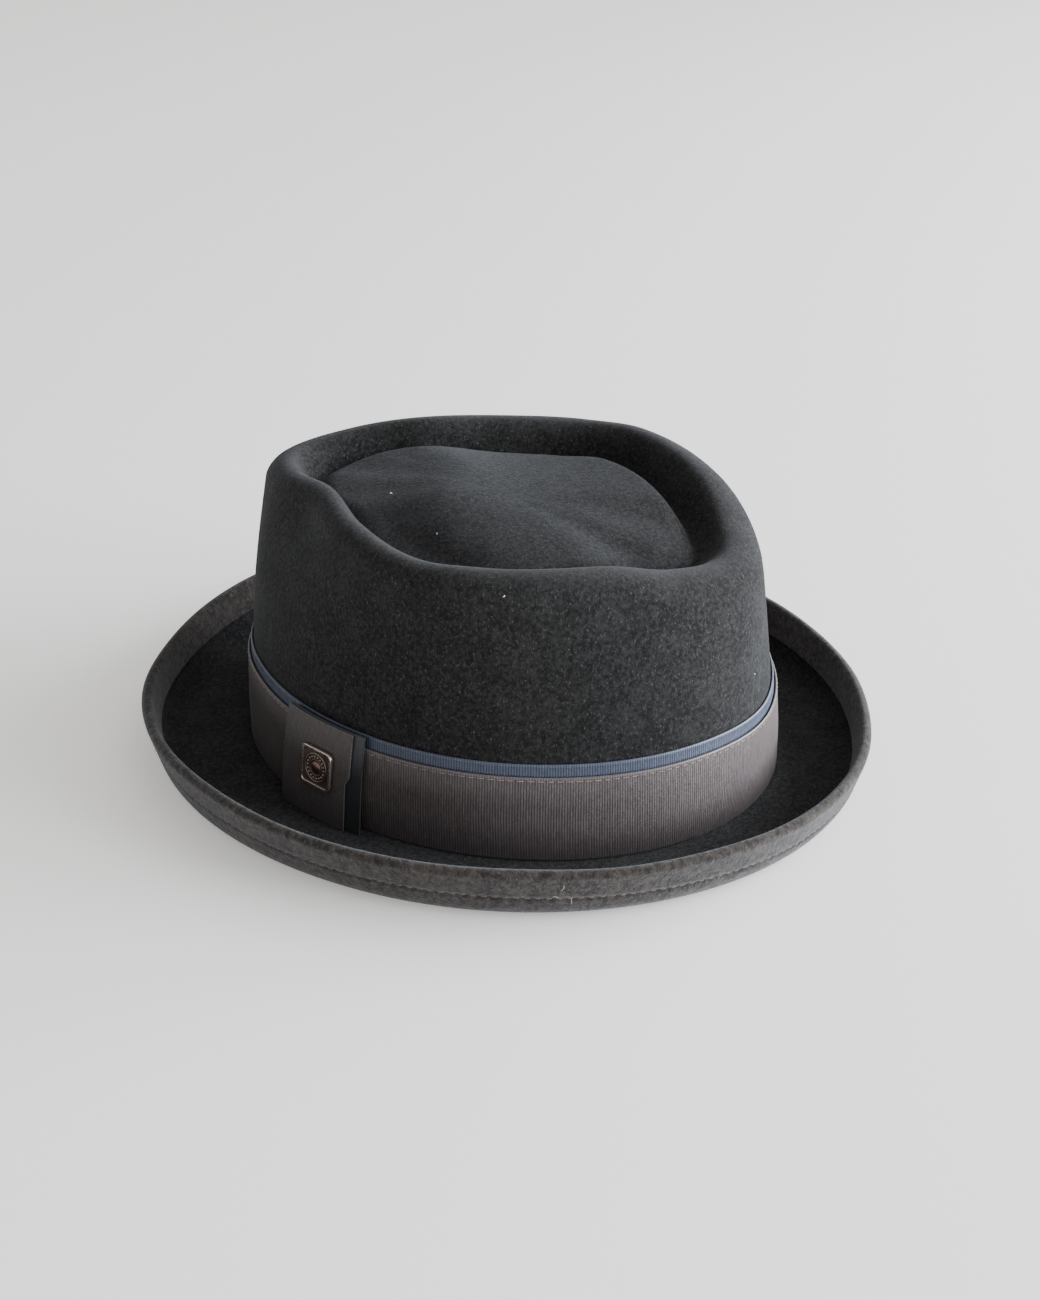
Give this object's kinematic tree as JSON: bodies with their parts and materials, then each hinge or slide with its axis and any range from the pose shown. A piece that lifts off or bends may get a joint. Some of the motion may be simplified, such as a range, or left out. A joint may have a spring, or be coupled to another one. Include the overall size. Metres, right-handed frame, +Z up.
{
  "type": "felt porkpie hat with a two-layer ribbon band, a ribbon tab and a small badge",
  "caption": "Felt hat with a diamond-shaped telescoped crown, a narrow brim turned up all round, a two-layer grosgrain band and a small square badge on a side tab.",
  "frame": {"origin": "on the table, midway between the front and the back of the lip and between its two sides", "axes": "+Z up out of the crown, -Y to the front of the hat, +X to the wearer's left, where the tab and badge are"},
  "size_m": [0.2472, 0.2766, 0.1068],
  "materials": {
    "felt": "matt black wool felt, brown-grey and fuzzy on the underside",
    "slate_ribbon": "slate blue grosgrain ribbon, finely ribbed",
    "taupe_ribbon": "brown-grey grosgrain ribbon, finely ribbed",
    "badge_metal": "antique cast metal with worn, brighter edges"
  },
  "bodies": {
    "root": {"felt_body": "felt", "trim_ribbon": "slate_ribbon", "band_ribbon": "taupe_ribbon", "tab_trim": "slate_ribbon", "ribbon_tab": "taupe_ribbon", "badge": "badge_metal"}
  },
  "joints": []
}
